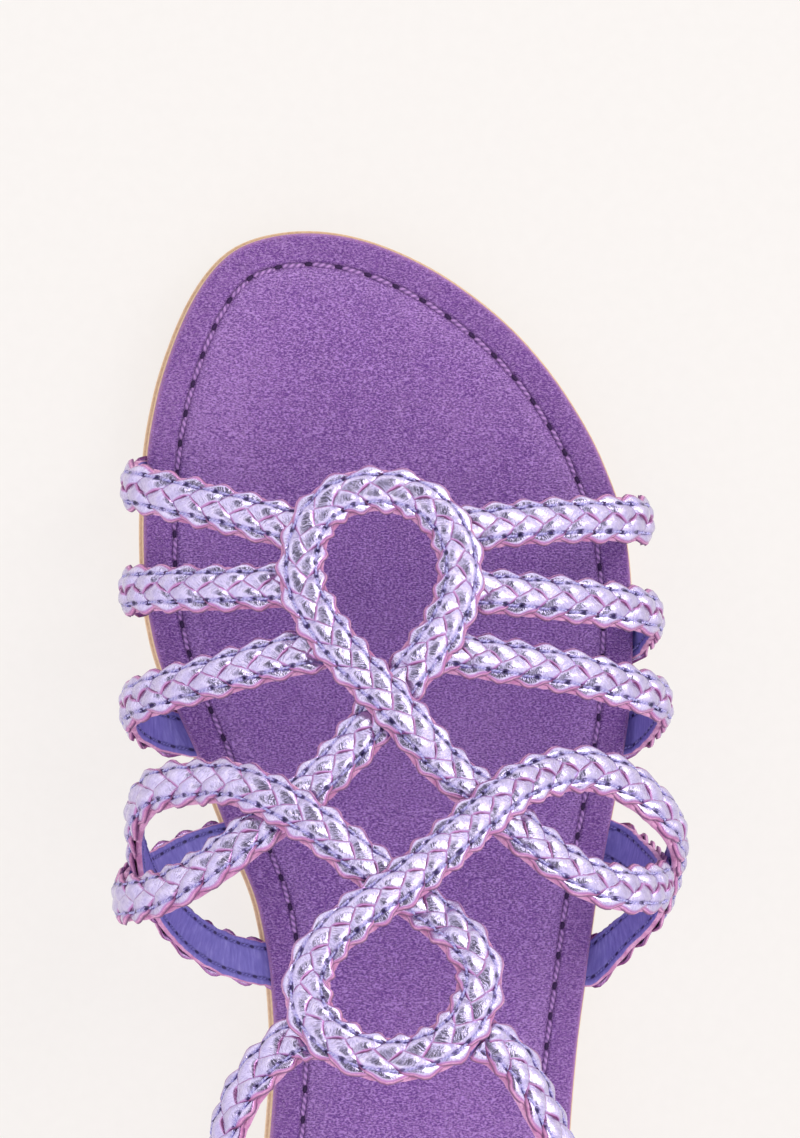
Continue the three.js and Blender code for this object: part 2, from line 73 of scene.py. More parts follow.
def column_curve(keys, values):
    """Monotone cubic through the values at the keys."""
    steps = np.diff(keys)
    slopes = np.diff(values) / steps
    tangents = np.concatenate(([slopes[0]], np.zeros(len(keys) - 2), [slopes[-1]]))
    for index in range(1, len(keys) - 1):
        before, after = slopes[index - 1], slopes[index]
        if before * after > 0:
            weight_before = 2 * steps[index] + steps[index - 1]
            weight_after = steps[index] + 2 * steps[index - 1]
            total = weight_before + weight_after
            tangents[index] = total / (weight_before / before + weight_after / after)

    def value_at(key):
        key = np.clip(key, keys[0], keys[-1])
        index = np.clip(np.searchsorted(keys, key, side="right") - 1, 0, len(steps) - 1)
        share = (key - keys[index]) / steps[index]
        square, cube = share ** 2, share ** 3
        return (values[index] * (2 * cube - 3 * square + 1)
                + tangents[index] * steps[index] * (cube - 2 * square + share)
                + values[index + 1] * (3 * square - 2 * cube)
                + tangents[index + 1] * steps[index] * (cube - square))
    return value_at


def round_angle(along):
    return np.arccos(np.clip(1 - 2 * along, -1, 1))


inner_edge = column_curve(round_angle(OUTLINE[:, 0]), OUTLINE[:, 1])
outer_edge = column_curve(round_angle(OUTLINE[:, 0]), OUTLINE[:, 2])
spring_share = column_curve(PROFILE[:, 0], PROFILE[:, 1])
pitch_share = column_curve(PROFILE[:, 0], PROFILE[:, 2])


def place_y(along):
    return (0.5 - along) * SOLE_LENGTH


def outsole_floor(y):
    along = 0.5 - y / SOLE_LENGTH
    return TOE_SPRING * spring_share(along) + HEEL_HEIGHT * pitch_share(along)


def outline_point(angle):
    along = (1 - np.cos(angle)) / 2
    inner = -inner_edge(round_angle(along))
    outer = outer_edge(round_angle(along))
    across = np.where(np.sin(angle) > 0, inner, outer)
    return np.stack([across * BALL_WIDTH + SHIFT_X, place_y(along)], axis=-1)


def inset_ring(inset, count=720):
    """Outline moved inwards, square to the edge, from the toe tip down the inner side and back."""
    angles = np.arange(count + 1) * 2 * math.pi / count
    direction = outline_point(angles + 0.004) - outline_point(angles - 0.004)
    direction /= np.linalg.norm(direction, axis=-1, keepdims=True)
    inwards = np.stack([-direction[:, 1], direction[:, 0]], axis=-1)
    return outline_point(angles) + inwards * inset


def spine_ring(ring, share):
    """A ring drawn towards the line along its middle. At share 1 both sides meet on that line."""
    return ring + ((ring + ring[::-1]) / 2 - ring) * share


def raised_ring(ring, height):
    """Plan points at a height over the outsole's own rise and fall."""
    return np.concatenate([ring, (outsole_floor(ring[:, 1]) + height)[:, None]], axis=1)


def add_grid(mesh, points, attributes, column_materials=None, piece_rows=None):
    """Adds a grid and moves its vertices to the points, in millimetres. Edges that meet are joined.
    With piece_rows, the grid is cut into separate pieces of that many rows."""
    rows, columns = points.shape[:2]
    made = bmesh.ops.create_grid(mesh, x_segments=rows - 1, y_segments=columns - 1, size=0.5)
    layers = {key: mesh.verts.layers.float_vector[key] for key in attributes}
    gaps = []
    for face in {face for vertex in made["verts"] for face in vertex.link_faces}:
        centre = face.calc_center_median()
        face.smooth = True
        if column_materials:
            face.material_index = column_materials[int((centre.y + 0.5) * (columns - 1))]
        if piece_rows and int((centre.x + 0.5) * (rows - 1)) % piece_rows == piece_rows - 1:
            gaps.append(face)
    for vertex in made["verts"]:
        row = round((vertex.co.x + 0.5) * (rows - 1))
        column = round((vertex.co.y + 0.5) * (columns - 1))
        vertex.co = points[row, column] * MM
        for key, layer in layers.items():
            vertex[layer] = attributes[key][row, column]
    bmesh.ops.delete(mesh, geom=gaps, context="FACES")
    bmesh.ops.remove_doubles(mesh, verts=mesh.verts, dist=0.00001)


def new_mesh(*layers):
    mesh = bmesh.new()
    for layer in layers:
        mesh.verts.layers.float_vector.new(layer)
    return mesh


def grid_piece(name, points, materials, attributes=None):
    mesh = new_mesh(*(attributes or {}))
    add_grid(mesh, points, attributes or {})
    bmesh.ops.holes_fill(mesh, edges=mesh.edges, sides=0)
    return piece_from(name, mesh, materials)


def piece_from(name, mesh, materials):
    bmesh.ops.recalc_face_normals(mesh, faces=mesh.faces)
    data = bpy.data.meshes.new(name)
    mesh.to_mesh(data)
    mesh.free()
    for material in materials:
        data.materials.append(material)
    piece = bpy.data.objects.new(name, data)
    bpy.context.collection.objects.link(piece)
    return piece


def srgb(red, green, blue):
    return tuple(((value / 255 + 0.055) / 1.055) ** 2.4 for value in (red, green, blue)) + (1,)


def new_material(name, **constants):
    material = bpy.data.materials.new(name)
    material.use_nodes = True
    shader = material.node_tree.nodes["Principled BSDF"]
    for socket, value in constants.items():
        shader.inputs[socket.replace("_", " ")].default_value = value
    return material


def node(material, kind, inputs=None, **settings):
    """Adds a shader node. An input is either a constant or the output that feeds it."""
    made = material.node_tree.nodes.new("ShaderNode" + kind)
    for key, value in settings.items():
        setattr(made, key, value)
    for socket, value in (inputs or {}).items():
        if isinstance(value, bpy.types.NodeSocket):
            material.node_tree.links.new(value, made.inputs[socket])
        else:
            made.inputs[socket].default_value = value
    return made


def ramp(material, factor, stops, interpolation="LINEAR"):
    made = node(material, "ValToRGB", {"Fac": factor})
    made.color_ramp.interpolation = interpolation
    elements = made.color_ramp.elements
    while len(elements) < len(stops):
        elements.new(1)
    for element, (position, colour) in zip(elements, stops):
        element.position = position
        element.color = colour
    return made.outputs["Color"]


def mix(material, factor, first, second, blend="MIX"):
    made = node(material, "Mix", data_type="RGBA", blend_type=blend)
    for socket, value in ((0, factor), (6, first), (7, second)):
        if isinstance(value, bpy.types.NodeSocket):
            material.node_tree.links.new(value, made.inputs[socket])
        else:
            made.inputs[socket].default_value = value
    return made.outputs[2]


def sums(material, operation, first, second=0.0, third=0.0):
    return node(material, "Math", {0: first, 1: second, 2: third}, operation=operation).outputs[0]


def distance_from(material, value, middle):
    return sums(material, "ABSOLUTE", sums(material, "SUBTRACT", value, middle))


def noise(material, vector, scale, detail=3.0, roughness=0.55, output="Fac"):
    values = {"Vector": vector, "Scale": scale, "Detail": detail, "Roughness": roughness}
    return node(material, "TexNoise", values).outputs[output]


def stretched(material, vector, scale):
    return node(material, "Mapping", {"Vector": vector, "Scale": scale}).outputs["Vector"]


def finish_material(material, colour, rough, *bumps):
    """Feeds colour and roughness, and stacks bumps given as (height, strength, distance)."""
    tree = material.node_tree
    shader = tree.nodes["Principled BSDF"]
    tree.links.new(colour, shader.inputs["Base Color"])
    tree.links.new(rough, shader.inputs["Roughness"])
    normal = None
    for height, strength, distance in bumps:
        values = {"Height": height, "Strength": strength, "Distance": distance}
        if normal:
            values["Normal"] = normal
        normal = node(material, "Bump", values).outputs["Normal"]
    tree.links.new(normal, shader.inputs["Normal"])


def object_place(material):
    return node(material, "TexCoord").outputs["Object"]


def between(material, value, low, high, new_low=0.0, new_high=1.0):
    values = {"Value": value, "From Min": low, "From Max": high, "To Min": new_low, "To Max": new_high}
    return node(material, "MapRange", values).outputs["Result"]


# Columns: inset from the outline, height over the outsole's underside.
OUTSOLE_RINGS = [
    (1.0, 0), (0.75, 0.1), (0.35, 0.4), (0.1, 0.8), (0, 1.2), (0, 1.9), (0.02, 2.5), (0.12, 2.85),
    (0.3, 2.98), (0.55, 3.04), (0.62, 3.2), (0.6, 3.6), (0.55, 4.3), (0.62, 4.75), (0.85, 4.95), (1.2, 5.0),
]
STEP_LEVEL = 3.1
# Inset that is written on the faces inside the rings.
DEEP_INSIDE = 20
outsole_leather = new_material("outsole_leather", Coat_Weight=0.15, Coat_Roughness=0.35)
place = object_place(outsole_leather)
profile = node(outsole_leather, "Attribute", attribute_name="profile").outputs["Vector"]
depth = node(outsole_leather, "SeparateXYZ", {0: profile}).outputs["X"]
level = node(outsole_leather, "SeparateXYZ", {0: profile}).outputs["Y"]
fibre = noise(outsole_leather, stretched(outsole_leather, place, (1, 1, 2.2)), 1500, 4, 0.6)
pores = noise(outsole_leather, place, 3200, 2)
cloud = noise(outsole_leather, place, 60, 3)
tan = ramp(outsole_leather, fibre, [(0.3, srgb(216, 178, 140)), (0.5, srgb(232, 200, 162)),
                                    (0.7, srgb(242, 214, 180))])
tan = mix(outsole_leather, between(outsole_leather, cloud, 0.4, 0.7, 0, 0.25), tan, srgb(210, 170, 134))
tan = mix(outsole_leather, between(outsole_leather, pores, 0.4, 0.3, 0, 0.35), tan, srgb(168, 124, 90))
off_step = distance_from(outsole_leather, level, STEP_LEVEL)
burnish = between(outsole_leather, off_step, 0.1, 0.4, 0.3, 0)
tan = mix(outsole_leather, burnish, tan, srgb(150, 106, 72))
tan = mix(outsole_leather, between(outsole_leather, level, 0.9, 0.2, 0, 0.35), tan, srgb(166, 122, 88))
ribs = node(outsole_leather, "TexWave", {"Vector": place, "Scale": 140, "Distortion": 0.4, "Detail": 1},
            bands_direction="Y").outputs["Fac"]
tread = sums(outsole_leather, "MULTIPLY", between(outsole_leather, level, 0.05, 0.01), ribs)
tread = sums(outsole_leather, "MULTIPLY", tread, between(outsole_leather, depth, 4, 5))
finish_material(
    outsole_leather, tan, between(outsole_leather, fibre, 0.3, 0.7, 0.58, 0.42),
    (fibre, 0.25, 0.00015), (pores, 0.3, 0.00008), (tread, 0.8, 0.0006),
)
lowest_ring, highest_ring = inset_ring(OUTSOLE_RINGS[0][0]), inset_ring(OUTSOLE_RINGS[-1][0])
under_shares, top_shares = (1, 0.75, 0.5, 0.25, 0.08), (0.25, 0.5, 0.75, 1)
outsole_levels = [raised_ring(spine_ring(lowest_ring, share), 0) for share in under_shares]
outsole_levels += [raised_ring(inset_ring(inset), height) for inset, height in OUTSOLE_RINGS]
outsole_levels += [raised_ring(spine_ring(highest_ring, share), OUTSOLE_THICKNESS) for share in top_shares]
profile_rows = [(DEEP_INSIDE, 0)] * len(under_shares) + OUTSOLE_RINGS
profile_rows += [(DEEP_INSIDE, OUTSOLE_THICKNESS)] * len(top_shares)
profile = np.zeros((len(outsole_levels[0]), len(profile_rows), 3))
profile[:, :, :2] = profile_rows
outsole = grid_piece("outsole_runner", np.stack(outsole_levels, axis=1), [outsole_leather],
                     {"profile": profile})
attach(outsole, "root")
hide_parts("outsole")


# Heel lift: a low block of stacked leather-look lifts under the rear of the outsole. It is nailed and
# glued on, and its edge is trimmed with the sole's. The solid keeps its shape and takes a layered finish.
lift_leather = new_material("lift_leather", Coat_Weight=0.1, Coat_Roughness=0.4)
place = object_place(lift_leather)
fibre = noise(lift_leather, stretched(lift_leather, place, (1, 1, 2.2)), 1300, 4, 0.6)
pores = noise(lift_leather, place, 3000, 2)
layers = node(lift_leather, "TexWave", {"Vector": place, "Scale": 120, "Distortion": 0.3, "Detail": 1},
              bands_direction="Z").outputs["Fac"]
brown = ramp(lift_leather, fibre, [(0.3, srgb(172, 130, 94)), (0.7, srgb(198, 158, 122))])
brown = mix(lift_leather, between(lift_leather, pores, 0.4, 0.3, 0, 0.4), brown, srgb(138, 98, 68))
brown = mix(lift_leather, between(lift_leather, layers, 0.02, 0.1, 0.5, 0), brown, srgb(118, 82, 56))
layer_gap = between(lift_leather, layers, 0.02, 0.12)
finish_material(lift_leather, brown, between(lift_leather, fibre, 0.3, 0.7, 0.6, 0.46),
                (fibre, 0.3, 0.00015), (pores, 0.3, 0.00008), (layer_gap, 0.5, 0.0002))
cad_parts["heel_lift"].data.materials.clear()
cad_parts["heel_lift"].data.materials.append(lift_leather)


# Footbed: the insole board, covered in purple suede that is wrapped round its edge. Inside the stitched
# border lies a thin foam pad, so the middle is raised, and each stitch draws the suede into its groove.
FOOTBED_FLOOR = OUTSOLE_THICKNESS + FIT_GAP
FOOTBED_THICKNESS = 4
GROOVE_INSET = 6.3
FOOTBED_STITCH = 5.5
PAD_HEIGHT = 4.66
# The suede puffs up by STITCH_PULL in the middle of a stitch, and HOLE_DRAW takes it down at the holes.
STITCH_PULL = 0.16
HOLE_DRAW = 1.6
PULL_REACH = 1.6
# Columns: inset from the outline, height over the board's underside.
FOOTBED_RINGS = [
    (1.2, 0), (0.95, 0.15), (0.8, 0.6), (0.74, 1.4), (0.74, 2.2), (0.8, 2.9), (0.96, 3.4), (1.22, 3.7),
    (1.6, 3.88), (2.2, 3.97), (3.0, 4.0), (4.0, 4.0), (4.8, 3.96), (5.3, 3.87), (5.6, 3.74), (5.85, 3.54),
    (6.08, 3.36), (6.3, 3.3), (6.52, 3.37), (6.75, 3.58), (7.0, 3.84), (7.35, 4.1), (7.8, 4.32), (8.5, 4.5),
    (9.5, 4.6), (11, 4.65), (13, PAD_HEIGHT),
]
groove_ring = inset_ring(GROOVE_INSET)
groove_steps = np.linalg.norm(np.diff(groove_ring, axis=0), axis=1)
groove_places = np.concatenate([[0], np.cumsum(groove_steps)])
footbed_stitches = round(groove_places[-1] / FOOTBED_STITCH)
stitch_phase = groove_places / groove_places[-1] * footbed_stitches

suede = new_material("suede", Sheen_Weight=0.4, Sheen_Roughness=0.45, Sheen_Tint=srgb(225, 170, 235),
                     Specular_IOR_Level=0.25)
place = object_place(suede)
border = node(suede, "Attribute", attribute_name="border").outputs["Vector"]
inset = node(suede, "SeparateXYZ", {0: border}).outputs["X"]
nap = noise(suede, place, 30, 5, 0.62)
brushed = noise(suede, stretched(suede, place, (1.5, 0.8, 1)), 170, 4, 0.6)
crinkle = noise(suede, stretched(suede, place, (0.7, 1.3, 1)), 3000, 2, 0.5)
crease = between(suede, distance_from(suede, crinkle, 0.5), 0.0, 0.07)
fluff = noise(suede, place, 4000, 3, 0.65)
purple = ramp(suede, nap, [(0.28, srgb(132, 82, 168)), (0.45, srgb(150, 100, 186)),
                           (0.58, srgb(165, 115, 198)), (0.75, srgb(184, 136, 214))])
purple = mix(suede, between(suede, brushed, 0.35, 0.7, 0, 0.4), purple, srgb(164, 122, 188))
# Painted highlight: the suede is lighter on the rounded rim of the pad, just inside the groove.
pad_rim_highlight = sums(suede, "MULTIPLY", between(suede, inset, 6.5, 7.3), between(suede, inset, 7.5, 12.5, 0.4, 0))
purple = mix(suede, pad_rim_highlight, purple, srgb(182, 142, 206))
# The crinkle's dark and light are partly the grain's own tone and partly painted shade and highlight on its
# ridges; the dark crease lines are painted shade.
purple = mix(suede, between(suede, crinkle, 0.4, 0.49, 0.75, 0), purple, srgb(92, 44, 132))
purple = mix(suede, between(suede, crinkle, 0.51, 0.62, 0, 0.8), purple, srgb(208, 162, 236))
purple = mix(suede, between(suede, crease, 0, 1, 0.2, 0), purple, srgb(92, 50, 120))
purple = mix(suede, between(suede, fluff, 0.53, 0.66, 0, 0.6), purple, srgb(208, 170, 226))
# Painted highlight: the suede wrapped round the edge is lighter and pinker, with a ragged border.
edge_highlight_reach = sums(suede, "ADD", inset, between(suede, crinkle, 0.3, 0.7, -0.4, 0.4))
purple = mix(suede, between(suede, edge_highlight_reach, 1.3, 0.9, 0, 0.75), purple, srgb(206, 150, 200))
off_seam = distance_from(suede, inset, GROOVE_INSET)
# Painted shade: the suede is darkened in the stitch groove.
purple = mix(suede, between(suede, off_seam, 0.1, 0.9, 0.7, 0), purple, srgb(74, 36, 96))
purple = mix(suede, between(suede, inset, 5.9, 4.5, 0, 0.22), purple, srgb(104, 58, 126))
finish_material(
    suede, purple, between(suede, fluff, 0.3, 0.7, 0.95, 0.8),
    (brushed, 0.3, 0.0012), (crinkle, 0.9, 0.0007), (crease, 0.3, 0.00015), (fluff, 0.5, 0.0002),
)
board_ring, board_shares = inset_ring(1.0), (1, 0.75, 0.5, 0.25)
footbed_levels = [raised_ring(spine_ring(board_ring, share), FOOTBED_FLOOR) for share in board_shares]
footbed_insets = [1.0] * len(board_shares)
for inset_size, height in FOOTBED_RINGS:
    ring = raised_ring(inset_ring(inset_size), FOOTBED_FLOOR + height)
    pull = math.exp(-((inset_size - GROOVE_INSET) / PULL_REACH) ** 2)
    ring[:, 2] += STITCH_PULL * pull * (1 - np.abs(np.cos(math.pi * stitch_phase)) * HOLE_DRAW)
    footbed_levels.append(ring)
    footbed_insets.append(inset_size)
inner_ring = inset_ring(FOOTBED_RINGS[-1][0])
for share in (0.08, 0.18, 0.3, 0.42, 0.54, 0.66, 0.78, 0.9, 1):
    footbed_levels.append(raised_ring(spine_ring(inner_ring, share), FOOTBED_FLOOR + PAD_HEIGHT))
    footbed_insets.append(DEEP_INSIDE)
border = np.zeros((len(groove_ring), len(footbed_levels), 3))
border[:, :, 0] = footbed_insets
footbed = grid_piece("suede_footbed", np.stack(footbed_levels, axis=1), [suede], {"border": border})
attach(footbed, "root")
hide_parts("footbed")


# Footbed stitching: a twisted purple thread in a lockstitch of 5.5 mm round the border. Each stitch
# lies in the groove and dips into the suede at either end, where the awl has left a long pit. The pits
# are painted shade: a flat dark spot lies over each hole.
FOOTBED_THREAD = 0.42
THREAD_SIDES = 6
SEAM_HEIGHT = 3.42
STITCH_GAP = 0.5
STITCH_SLANT = 0.16
PIT_RADIUS = 0.42
PIT_SHAPE = (1.7, 0.95, 0.45, 1)
# Columns: share of the half length, share of the radius.
THREAD_SHAPE = np.array([
    (-1, 0), (-0.97, 0.6), (-0.82, 0.92), (-0.4, 1), (0, 1), (0.4, 1), (0.82, 0.92), (0.97, 0.6), (1, 0),
])


def unit(vectors):
    return vectors / np.linalg.norm(vectors, axis=-1, keepdims=True)


def add_stitches(mesh, starts, ends, outs, radius, dip, arch):
    """Threads from hole to hole. The ends dip down, and the middle lies on the surface."""
    forward = unit(ends - starts)[:, None, None, :]
    out = outs[:, None, None, :]
    across = np.cross(forward, out)
    place, full = THREAD_SHAPE[None, :, None, 0], THREAD_SHAPE[None, :, None, 1] * radius
    turn = (np.arange(THREAD_SIDES + 1) * 2 * math.pi / THREAD_SIDES)[None, None, :]
    along = place * np.linalg.norm(ends - starts, axis=1)[:, None, None] / 2 + 0 * turn
    aside, above = full * np.cos(turn) + 0 * along, full * np.sin(turn) + 0 * along
    rise = above + arch * (1 - place ** 2) - dip * place ** 6
    middle = ((starts + ends) / 2)[:, None, None, :]
    points = middle + forward * along[..., None] + across * aside[..., None] + out * rise[..., None]
    thread = np.stack([along, aside, above], axis=-1)
    shape = (-1, THREAD_SIDES + 1, 3)
    attributes = {"thread": thread.reshape(shape)}
    add_grid(mesh, points.reshape(shape), attributes, piece_rows=len(THREAD_SHAPE))


def thread_material(name, dark, light, twist):
    """Two plies twisted together. Their twist is painted in colour: a painted highlight on each ply's
    crest, painted shade between the plies and painted glints along the fibres. The attribute holds the
    place along and across the thread.
    """
    material = new_material(name, Sheen_Weight=0.3, Sheen_Roughness=0.4)
    place = node(material, "Attribute", attribute_name="thread").outputs["Vector"]
    parts = node(material, "SeparateXYZ", {0: place}).outputs
    turn = sums(material, "ADD", sums(material, "MULTIPLY", parts["X"], twist),
                sums(material, "MULTIPLY", parts["Y"], twist * 0.9))
    ply_crest_highlight = between(material, sums(material, "SINE", turn), -1, 1)
    fibre = noise(material, stretched(material, place, (3, 14, 14)), 1.0, 3)
    colour = mix(material, ply_crest_highlight, dark, light)
    colour = mix(material, between(material, fibre, 0.3, 0.7, 0, 0.35), colour, light)
    finish_material(material, colour, between(material, fibre, 0.3, 0.7, 0.65, 0.42),
                    (ply_crest_highlight, 0.7, 0.00012), (fibre, 0.3, 0.00005))
    return material


footbed_thread = thread_material("footbed_thread", srgb(92, 48, 124), srgb(196, 148, 214), 5.2)
mesh = new_mesh("thread")
ends = np.arange(footbed_stitches + 1)
hole_x = np.interp(ends, stitch_phase, groove_ring[:, 0])
hole_y = np.interp(ends, stitch_phase, groove_ring[:, 1])
holes = np.stack([hole_x, hole_y, outsole_floor(hole_y) + FOOTBED_FLOOR + SEAM_HEIGHT], axis=1)
run = unit(holes[1:] - holes[:-1])
up = np.repeat([[0, 0, 1.0]], footbed_stitches, axis=0)
away = run * STITCH_GAP + np.cross(up, run) * STITCH_SLANT
add_stitches(mesh, holes[:-1] + away, holes[1:] - away, up, FOOTBED_THREAD, dip=0.5, arch=0.1)
footbed_seam = piece_from("footbed_stitching", mesh, [footbed_thread])
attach(footbed_seam, "root")

hole_shade = new_material("stitch_hole_shade", Base_Color=srgb(26, 10, 40), Roughness=0.9)
shade = noise(hole_shade, object_place(hole_shade), 2000, 2)
finish_material(hole_shade, ramp(hole_shade, shade, [(0.3, srgb(40, 16, 58)), (0.7, srgb(64, 32, 86))]),
                between(hole_shade, shade, 0.3, 0.7, 0.8, 0.95), (shade, 0.3, 0.0001))
# Painted shade: a flat dark spot over each hole stands in for the shade inside the pit.
mesh = bmesh.new()
for hole, (run_x, run_y, _) in zip(holes, run + np.roll(run, 1, axis=0)):
    turned = Matrix.Rotation(math.atan2(run_y, run_x), 4, "Z") @ Matrix.Diagonal(PIT_SHAPE)
    spot = Matrix.Translation(Vector(hole * MM)) @ turned
    bmesh.ops.create_uvsphere(mesh, u_segments=8, v_segments=4, radius=PIT_RADIUS * MM, matrix=spot)
for face in mesh.faces:
    face.smooth = True
footbed_hole_shade = piece_from("footbed_hole_shade_spots", mesh, [hole_shade])
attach(footbed_hole_shade, "root")


# Strap linings: each strap is backed with smooth blue-violet goat leather, 1.2 mm thick. The straps lie
# on the foot form: six cross straps, two long strands that make the loops, and the heel strap.
INSTEP_HEIGHT = 64
LINING_WIDTH = 7.6
LINING_THICKNESS = 1.2
LINING_STEP = 1.1
UNEVEN_EDGE = 0.14
STITCH_LINE = 2.6
STITCH_LENGTH = 2.8
TAIL_THICKNESS = 2
TUCK_LENGTH = 11
CROWN_FULLNESS = 0.85
FOOTBED_SETBACK = 0.7
PLAIT_HEIGHT = 2.7
CROSSING_RISE = 2.55
DEGREE_LENGTH = BALL_WIDTH / 150
ROUTE_SAMPLES = 1400
# Degrees around at which a strap starts to thin towards its tail, and how far a tail may lean.
SKIVE_START = 140
SLANT_LIMIT = 1.3

# Columns: along, then ridge, inner, outer as shares of the ball width, then height and bulge as
# shares of the instep height.
LAST = np.array([
    (0.1, -0.03, 0.5, 0.44, 0.28, 0.1), (0.18, -0.03, 0.52, 0.47, 0.36, 0.13),
    (0.26, -0.03, 0.525, 0.49, 0.48, 0.16), (0.35, -0.035, 0.525, 0.51, 0.62, 0.22),
    (0.45, -0.04, 0.515, 0.5, 0.8, 0.34), (0.52, -0.045, 0.51, 0.485, 0.91, 0.4),
    (0.6, -0.05, 0.49, 0.44, 1.02, 0.44), (0.68, -0.05, 0.45, 0.38, 1.14, 0.46),
])
# Columns: along, around in degrees, lift. Around is 0 on the ridge, 90 at the widest point, 180 at the
# footbed's edge and 270 at the end of the tuck, less than zero on the inner side.
ROUTES = {
    "inner_front": [(0.222, -20, 0), (0.208, -39, 0), (0.199, -55, 0), (0.191, -74, 0), (0.187, -105, 0),
                    (0.185, -145, 0), (0.184, -180, 0), (0.184, -270, 0)],
    "inner_middle": [(0.261, -20, 0), (0.263, -40, 0), (0.263, -70, 0), (0.264, -105, 0), (0.264, -145, 0),
                     (0.264, -180, 0), (0.264, -270, 0)],
    "inner_rear": [(0.305, -16, 0), (0.314, -29, 0), (0.326, -45, 0), (0.34, -72, 0), (0.351, -105, 0),
                   (0.363, -145, 0), (0.369, -180, 0), (0.37, -270, 0)],
    "outer_front": [(0.222, 14, 0), (0.217, 29, 0), (0.214, 45, 0), (0.213, 65, 0), (0.213, 100, 0),
                    (0.212, 145, 0), (0.211, 180, 0), (0.211, 270, 0)],
    "outer_middle": [(0.263, 14, 0), (0.268, 30, 0), (0.274, 52, 0), (0.28, 75, 0), (0.286, 110, 0),
                     (0.293, 150, 0), (0.297, 180, 0), (0.298, 270, 0)],
    "outer_rear": [(0.307, 10, 0), (0.315, 25, 0), (0.323, 41, 0), (0.333, 58, 0), (0.344, 82, 0),
                   (0.354, 115, 0), (0.364, 150, 0), (0.369, 180, 0), (0.37, 270, 0)],
    "front_strand": [
        (0.447, -270, 0), (0.448, -180, 0), (0.457, -150, 0.2), (0.473, -118, 1), (0.482, -92, 1),
        (0.478, -68, 0.35), (0.46, -49, 0), (0.438, -36, 0), (0.412, -23, 0), (0.38, -11, 0),
        (0.344, -1.7, 0), (0.318, 5, 0.55), (0.298, 9.7, 1), (0.268, 13.8, 1), (0.241, 14.2, 1),
        (0.217, 11, 1), (0.201, 5, 1), (0.196, -3, 1), (0.201, -11, 1), (0.217, -17, 1), (0.24, -20, 1),
        (0.266, -20, 1), (0.291, -16, 1), (0.318, -9.5, 1), (0.344, -1.7, 1), (0.366, 4, 0.75),
        (0.388, 10.5, 0.1), (0.412, 19.2, 0), (0.437, 28.3, 0), (0.458, 38, 0), (0.471, 49, 0),
        (0.475, 65, 0), (0.471, 88, 0), (0.464, 118, 0), (0.454, 150, 0), (0.448, 180, 0), (0.447, 270, 0),
    ],
    "rear_strand": [
        (0.539, -270, 0), (0.537, -180, 0), (0.524, -155, 0), (0.494, -130, 0), (0.46, -108, 0),
        (0.428, -88, 0), (0.407, -70, 0), (0.4, -52, 0), (0.401, -40, 0.5), (0.412, -29, 1),
        (0.429, -19.5, 1), (0.449, -9.8, 0.45), (0.472, 1, 0), (0.491, 8.5, 0.2), (0.51, 13.6, 0.75),
        (0.534, 16.8, 1), (0.561, 14.5, 1), (0.58, 8.5, 1), (0.588, -1, 1), (0.58, -11.6, 1),
        (0.561, -18.8, 1), (0.536, -20.2, 1), (0.512, -16, 1), (0.491, -8, 1), (0.472, 1, 1),
        (0.45, 8.8, 1), (0.426, 17.2, 1), (0.405, 25.5, 0.7), (0.393, 35, 0.2), (0.391, 44, 0),
        (0.4, 56, 0.1), (0.42, 70, 0.5), (0.45, 90, 1), (0.482, 115, 1), (0.512, 142, 0.3),
        (0.531, 165, 0), (0.537, 180, 0), (0.539, 270, 0),
    ],
}
# Columns: along, across as a share of the ball width, height as a share of the instep height, lean.
HEEL_STRAP = np.array([
    (0.57, -0.19, 0.955, 68), (0.572, -0.235, 0.94, 62), (0.59, -0.292, 0.928, 52),
    (0.615, -0.337, 0.91, 42), (0.65, -0.365, 0.893, 32), (0.71, -0.382, 0.876, 20),
    (0.78, -0.368, 0.858, 12), (0.85, -0.312, 0.842, 8), (0.905, -0.222, 0.832, 6),
    (0.94, -0.11, 0.828, 5), (0.95, 0.003, 0.826, 5), (0.941, 0.115, 0.828, 5),
    (0.906, 0.226, 0.836, 6), (0.85, 0.298, 0.85, 8), (0.78, 0.322, 0.872, 12),
    (0.71, 0.304, 0.898, 20), (0.655, 0.262, 0.928, 34), (0.615, 0.213, 0.955, 48),
    (0.585, 0.165, 0.955, 60), (0.57, 0.112, 0.965, 70),
])
last_form = {
    name: column_curve(LAST[:, 0], LAST[:, index + 1])
    for index, name in enumerate(("ridge", "inner", "outer", "height", "bulge"))
}


def last_point(along, around):
    """Point on the foot form where the inside of a strap lies."""
    side = np.where(around < 0, -1, 1)
    turn = np.abs(around)
    base = outsole_floor(place_y(along)) + FOOTBED_FLOOR
    top = base + FOOTBED_THICKNESS
    widest = side * np.where(side < 0, last_form["inner"](along), last_form["outer"](along)) * BALL_WIDTH
    ridge = last_form["ridge"](along) * BALL_WIDTH
    bulge_z = top + last_form["bulge"](along) * INSTEP_HEIGHT
    ridge_z = top + last_form["height"](along) * INSTEP_HEIGHT
    upper_turn = np.radians(np.minimum(turn, 90))
    full = np.maximum(np.cos(upper_turn), 0) ** CROWN_FULLNESS
    edge_share = np.where(side < 0, inner_edge(round_angle(along)), outer_edge(round_angle(along)))
    edge = edge_share * BALL_WIDTH - FOOTBED_SETBACK
    feather = base + TAIL_THICKNESS
    lower_turn = np.radians(np.clip(turn, 90, 180) - 90)
    tuck = TUCK_LENGTH * np.maximum(turn - 180, 0) / 90
    low_x = widest + (side * edge - widest) * (1 - np.cos(lower_turn)) - side * tuck
    low_z = bulge_z - (bulge_z - feather) * np.sin(lower_turn)
    x = np.where(turn <= 90, ridge + (widest - ridge) * np.sin(upper_turn), low_x)
    z = np.where(turn <= 90, bulge_z + (ridge_z - bulge_z) * full, low_z)
    return np.stack([x + SHIFT_X, place_y(along), z], axis=-1)


